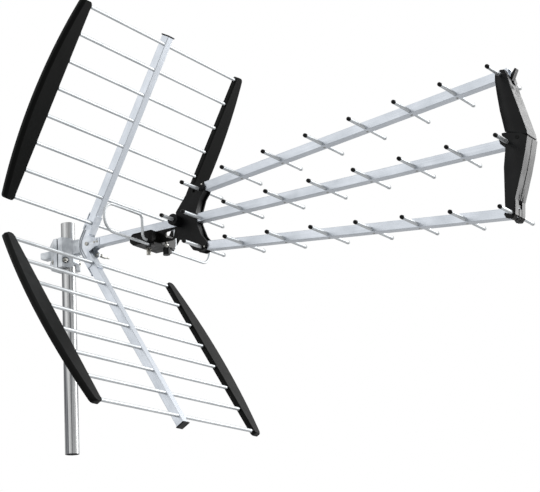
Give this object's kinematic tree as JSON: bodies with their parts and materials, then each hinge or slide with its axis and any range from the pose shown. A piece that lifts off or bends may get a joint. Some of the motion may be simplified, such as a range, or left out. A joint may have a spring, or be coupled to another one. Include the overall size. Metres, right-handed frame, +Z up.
{
  "type": "outdoor television antenna",
  "caption": "Outdoor UHF television antenna with fanned director booms, folded-back reflector grids, a loop dipole with a balun box, and a tilting clamp on a short mast.",
  "frame": {"origin": "centre of the mast's lower end", "axes": "+Z up along the mast, +X forward along the middle director boom, +Y to the left"},
  "size_m": [1.228, 0.676, 0.9225],
  "materials": {
    "mast_steel": "galvanised",
    "clamp_casting": "cast satin",
    "bracket_steel": "zinc plated",
    "zinc_steel": "zinc plated",
    "connector_nickel": "nickel plated",
    "black_cap": "satin",
    "black_plastic": "satin",
    "bar_plastic": "satin",
    "aluminium": "satin"
  },
  "bodies": {
    "mast": {"mast_tube": "mast_steel"},
    "clamp": {"clamp_bolts": "zinc_steel", "clamp_cradle": "clamp_casting", "clamp_jaw": "clamp_casting", "clamp_nuts": "zinc_steel"},
    "antenna": {"balun_box": "black_plastic", "box_knob": "black_plastic", "box_screw": "zinc_steel", "bracket": "bracket_steel", "bracket_rivets": "zinc_steel", "bracket_stud": "zinc_steel", "dipole_far": "aluminium", "dipole_near": "aluminium", "dipole_terminals": "black_plastic", "director_plugs": "black_cap", "f_connector": "connector_nickel", "hub_core": "black_plastic", "hub_far": "black_plastic", "hub_near": "black_plastic", "hub_pins": "zinc_steel", "lower_bar_far": "bar_plastic", "lower_bar_near": "bar_plastic", "lower_boom": "aluminium", "lower_directors": "aluminium", "lower_reflector_rods": "aluminium", "lower_reflector_tube": "aluminium", "lower_tube_plug": "black_plastic", "main_boom": "aluminium", "middle_boom": "aluminium", "middle_directors": "aluminium", "rear_director": "aluminium", "spreader_lower_far": "black_plastic", "spreader_lower_near": "black_plastic", "spreader_pin": "zinc_steel", "spreader_upper": "black_plastic", "stud_nut": "zinc_steel", "tilt_bolt": "zinc_steel", "upper_bar_far": "bar_plastic", "upper_bar_near": "bar_plastic", "upper_boom": "aluminium", "upper_directors": "aluminium", "upper_reflector_rods": "aluminium", "upper_reflector_tube": "aluminium", "upper_tube_plug": "black_plastic", "wing_nut": "zinc_steel"}
  },
  "joints": [
    {"name": "azimuth", "type": "hinge", "parent": "mast", "child": "clamp", "pos_m": [0, 0, 0.47], "axis": [0, 0, 1], "continuous": true},
    {"name": "tilt", "type": "hinge", "parent": "clamp", "child": "antenna", "pos_m": [0.0624, 0, 0.47], "axis": [0, 1, 0], "range_deg": [-15, 15]}
  ]
}
